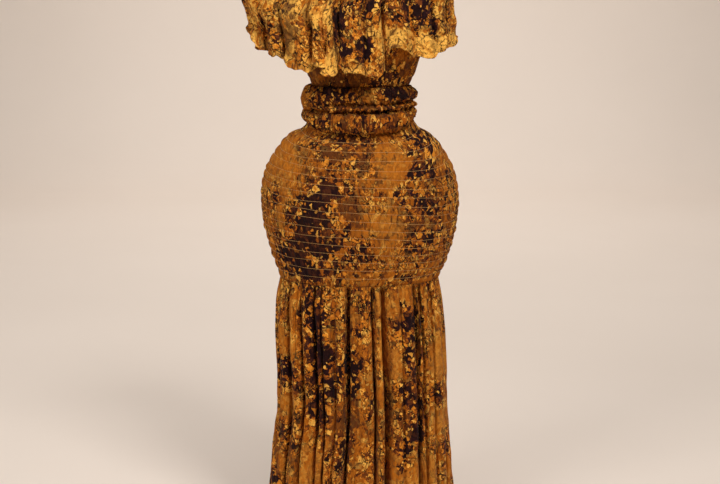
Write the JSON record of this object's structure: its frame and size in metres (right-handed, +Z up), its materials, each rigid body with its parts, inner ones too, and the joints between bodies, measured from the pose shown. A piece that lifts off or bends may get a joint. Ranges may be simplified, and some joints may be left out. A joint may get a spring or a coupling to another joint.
{
  "type": "off-shoulder maxi dress",
  "caption": "Hollow off-shoulder maxi dress with a gathered flounce, bunched waist, shirred rounded hips and a long gathered skirt.",
  "frame": {"origin": "centre of the elastic neck casing, where the wearer's upper chest and arms hold the dress", "axes": "+Z up along the dress, front of the dress towards -Y, wearer's left towards +X"},
  "size_m": [0.5005, 0.3542, 1.318],
  "materials": {
    "casing_cotton": "matte",
    "flounce_cotton": "matte",
    "panel_cotton": "matte",
    "shirred_cotton": "matte"
  },
  "bodies": {
    "root": {"neck_casing": "casing_cotton", "flounce_front": "flounce_cotton", "flounce_back": "flounce_cotton", "bodice_front": "panel_cotton", "bodice_back": "panel_cotton", "body_front": "shirred_cotton", "body_back": "shirred_cotton", "skirt_front": "panel_cotton", "skirt_back": "panel_cotton"}
  },
  "joints": []
}
